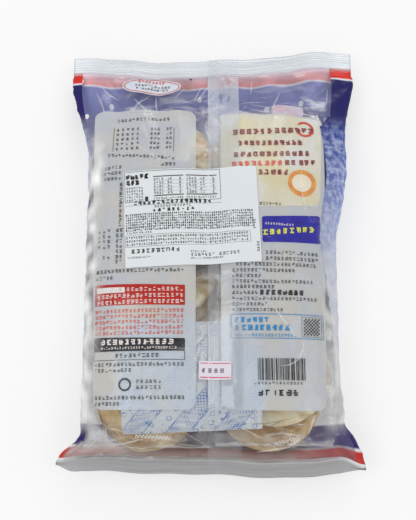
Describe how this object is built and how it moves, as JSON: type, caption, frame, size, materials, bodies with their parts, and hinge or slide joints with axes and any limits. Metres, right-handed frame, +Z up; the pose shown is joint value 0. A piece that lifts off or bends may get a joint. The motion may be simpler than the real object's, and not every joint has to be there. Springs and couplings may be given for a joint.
{
  "type": "bag of rice crackers",
  "caption": "Sealed clear film pillow bag of individually wrapped round rice crackers, lying on its printed front with the seamed, labelled back up.",
  "frame": {"origin": "under the middle of the bag, on the surface that it lies on", "axes": "+Y along the bag towards its top seal, +X across it to the right as the back is looked at, +Z up through the back"},
  "size_m": [0.205, 0.303, 0.0515],
  "materials": {
    "film": "clear polypropylene film with printed ink, glossy",
    "label_paper": "matt white sticker paper",
    "price_paper": "matt pale sticker paper with two red lines",
    "cracker": "baked puffed rice with a sugar glaze",
    "sachet_paper": "matt white paper printed in blue"
  },
  "bodies": {
    "root": {"bag": "film", "info_label": "label_paper", "price_label": "price_paper"}
  },
  "joints": []
}
